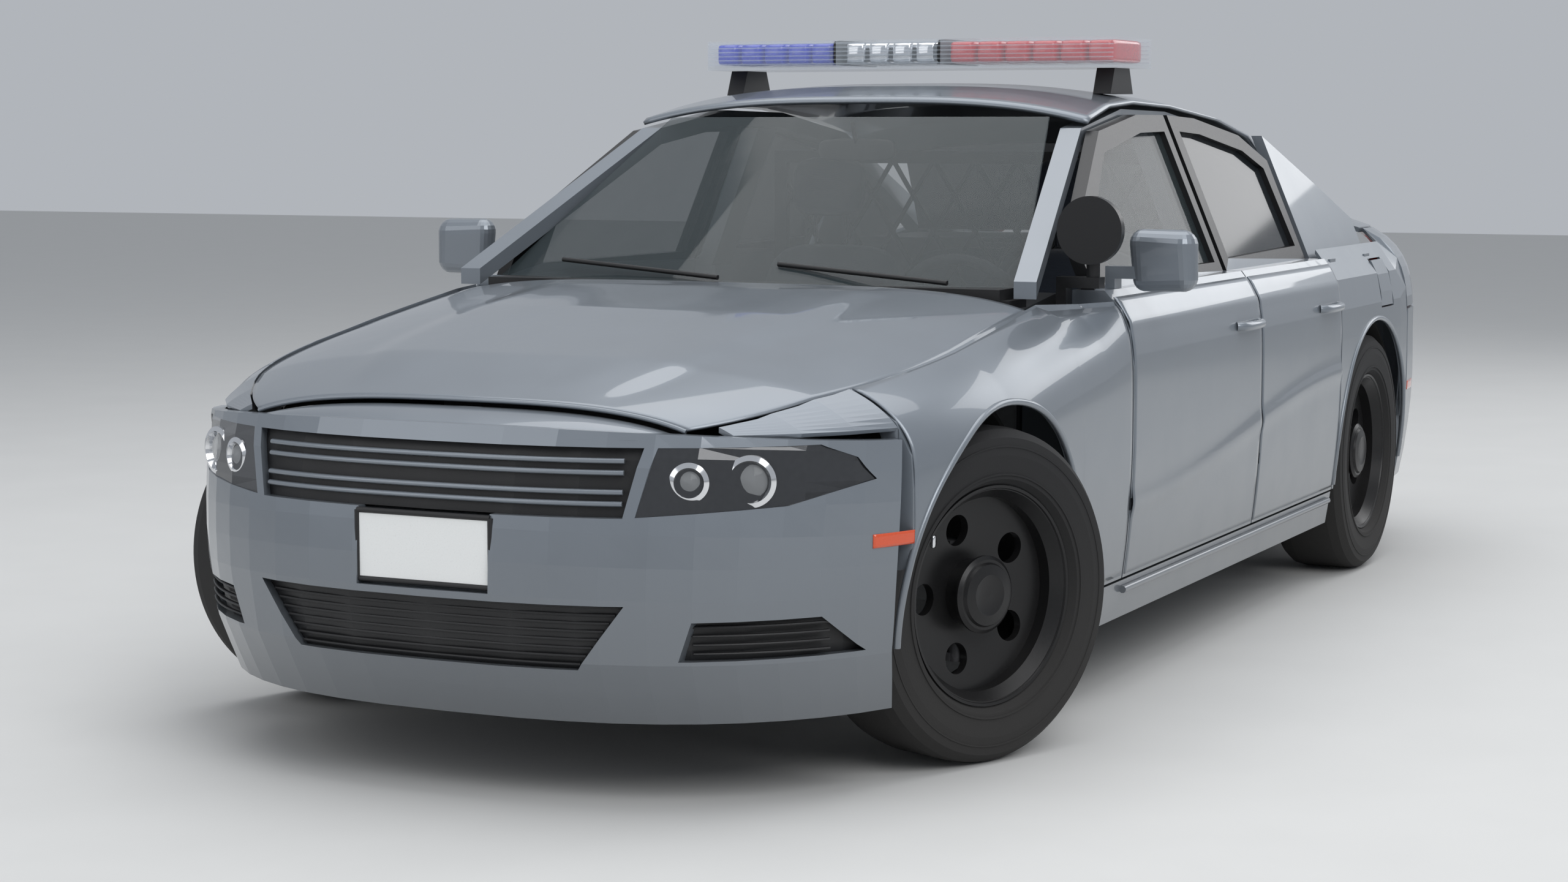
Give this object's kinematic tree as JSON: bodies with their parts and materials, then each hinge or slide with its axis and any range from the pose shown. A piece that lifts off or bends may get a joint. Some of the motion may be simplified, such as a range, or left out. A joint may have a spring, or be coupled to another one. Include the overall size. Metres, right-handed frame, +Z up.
{
  "type": "police patrol car",
  "caption": "Police patrol saloon with steel wheels, roof light bar, pillar spotlight and cage, its doors, lids, steering and wheels hinged.",
  "frame": {"origin": "on the ground under the middle of the car", "axes": "+X to the front of the car, +Y to its left, +Z up"},
  "size_m": [5.0386, 2.1072, 1.597],
  "materials": {
    "paint": "gloss clear coat",
    "frame_metal": "satin",
    "black_trim": "fine grain",
    "glass_clear": "gloss",
    "glass_tint": "gloss",
    "lamp_front": "clear over dark",
    "lamp_rear": "clear red",
    "light_bar": "clear ribbed lens",
    "seat_cloth": "woven",
    "dash": "grained",
    "steel_black": "satin black",
    "tyre": "matt",
    "cast": "raw",
    "exhaust": "brushed",
    "plate": "gloss",
    "liner": "rough"
  },
  "bodies": {
    "body": {"floor_pan": "frame_metal", "side_frames": "frame_metal", "bulkheads": "frame_metal", "wheel_houses": "liner", "roof_panel": "paint", "front_fenders": "paint", "rear_quarters": "paint", "front_bumper": "paint", "rear_bumper": "paint", "grilles": "black_trim", "headlamps": "lamp_front", "tail_lamps": "lamp_rear", "windscreen": "glass_clear", "rear_window": "glass_tint", "cowl": "black_trim", "engine": "cast", "subframes": "cast", "exhaust": "exhaust", "dashboard": "dash", "front_seats": "seat_cloth", "rear_seat": "seat_cloth", "partition": "steel_black", "light_bar": "light_bar", "light_bar_feet": "black_trim", "front_plate": "plate", "spotlight_bracket": "steel_black"},
    "left_front_door": {"front_door_left": "paint", "front_window_left": "glass_clear", "mirror_left": "paint"},
    "right_front_door": {"front_door_right": "paint", "front_window_right": "glass_clear", "mirror_right": "paint"},
    "left_rear_door": {"rear_door_left": "paint", "rear_window_left": "glass_tint"},
    "right_rear_door": {"rear_door_right": "paint", "rear_window_right": "glass_tint"},
    "hood": {"hood": "paint"},
    "boot_lid": {"boot_lid": "paint"},
    "fuel_flap": {"fuel_door": "paint"},
    "steering_wheel": {"steering_wheel": "dash"},
    "spotlight": {"spotlight": "black_trim"},
    "left_knuckle": {"knuckle_left": "cast"},
    "right_knuckle": {"knuckle_right": "cast"},
    "wheel_fl": {"tyre_fl": "tyre", "rim_fl": "steel_black"},
    "wheel_fr": {"tyre_fr": "tyre", "rim_fr": "steel_black"},
    "wheel_rl": {"tyre_rl": "tyre", "rim_rl": "steel_black"},
    "wheel_rr": {"tyre_rr": "tyre", "rim_rr": "steel_black"}
  },
  "joints": [
    {"name": "hood_hinge", "type": "hinge", "parent": "body", "child": "hood", "pos_m": [1.19, 0, 0.95], "axis": [0, -1, 0], "range_deg": [0, 60]},
    {"name": "boot_hinge", "type": "hinge", "parent": "body", "child": "boot_lid", "pos_m": [-1.822, 0, 1], "axis": [0, 1, 0], "range_deg": [0, 55]},
    {"name": "front_door_left_hinge", "type": "hinge", "parent": "body", "child": "left_front_door", "pos_m": [0.84, 0.916, 0.62], "axis": [0, 0, -1], "range_deg": [0, 65]},
    {"name": "front_door_right_hinge", "type": "hinge", "parent": "body", "child": "right_front_door", "pos_m": [0.84, -0.916, 0.62], "axis": [0, 0, 1], "range_deg": [0, 65]},
    {"name": "rear_door_left_hinge", "type": "hinge", "parent": "body", "child": "left_rear_door", "pos_m": [-0.224, 0.916, 0.62], "axis": [0, 0, -1], "range_deg": [0, 65]},
    {"name": "rear_door_right_hinge", "type": "hinge", "parent": "body", "child": "right_rear_door", "pos_m": [-0.224, -0.916, 0.62], "axis": [0, 0, 1], "range_deg": [0, 65]},
    {"name": "steer_left", "type": "hinge", "parent": "body", "child": "left_knuckle", "pos_m": [1.62, 0.79, 0.363], "axis": [0, 0, 1], "range_deg": [-13, 57]},
    {"name": "steer_right", "type": "hinge", "parent": "body", "child": "right_knuckle", "pos_m": [1.62, -0.79, 0.363], "axis": [0, 0, 1], "range_deg": [-13, 57]},
    {"name": "steering_wheel_turn", "type": "hinge", "parent": "body", "child": "steering_wheel", "pos_m": [0.65, 0.37, 0.82], "axis": [-0.8829, 0, 0.4695], "range_deg": [-195, 855]},
    {"name": "spin_fl", "type": "hinge", "parent": "left_knuckle", "child": "wheel_fl", "pos_m": [1.62562, 0.80391, 0.363], "axis": [0.3746, 0.9272, 0], "continuous": true},
    {"name": "spin_fr", "type": "hinge", "parent": "right_knuckle", "child": "wheel_fr", "pos_m": [1.61438, -0.80391, 0.363], "axis": [0.3746, 0.9272, 0], "continuous": true},
    {"name": "spin_rl", "type": "hinge", "parent": "body", "child": "wheel_rl", "pos_m": [-1.432, 0.805, 0.363], "axis": [0, 1, 0], "continuous": true},
    {"name": "spin_rr", "type": "hinge", "parent": "body", "child": "wheel_rr", "pos_m": [-1.432, -0.805, 0.363], "axis": [0, 1, 0], "continuous": true},
    {"name": "spotlight_turn", "type": "hinge", "parent": "body", "child": "spotlight", "pos_m": [0.935, 0.85, 1.12], "axis": [0, 0, 1], "range_deg": [-90, 90]},
    {"name": "fuel_flap_hinge", "type": "hinge", "parent": "body", "child": "fuel_flap", "pos_m": [-1.494, 0.92585, 0.805], "axis": [0, 0, -1], "range_deg": [0, 80]}
  ],
  "couplings": [
    {"joint": "steer_right", "follows": "steer_left", "ratio": 1},
    {"joint": "steering_wheel_turn", "follows": "steer_left", "ratio": 15}
  ]
}
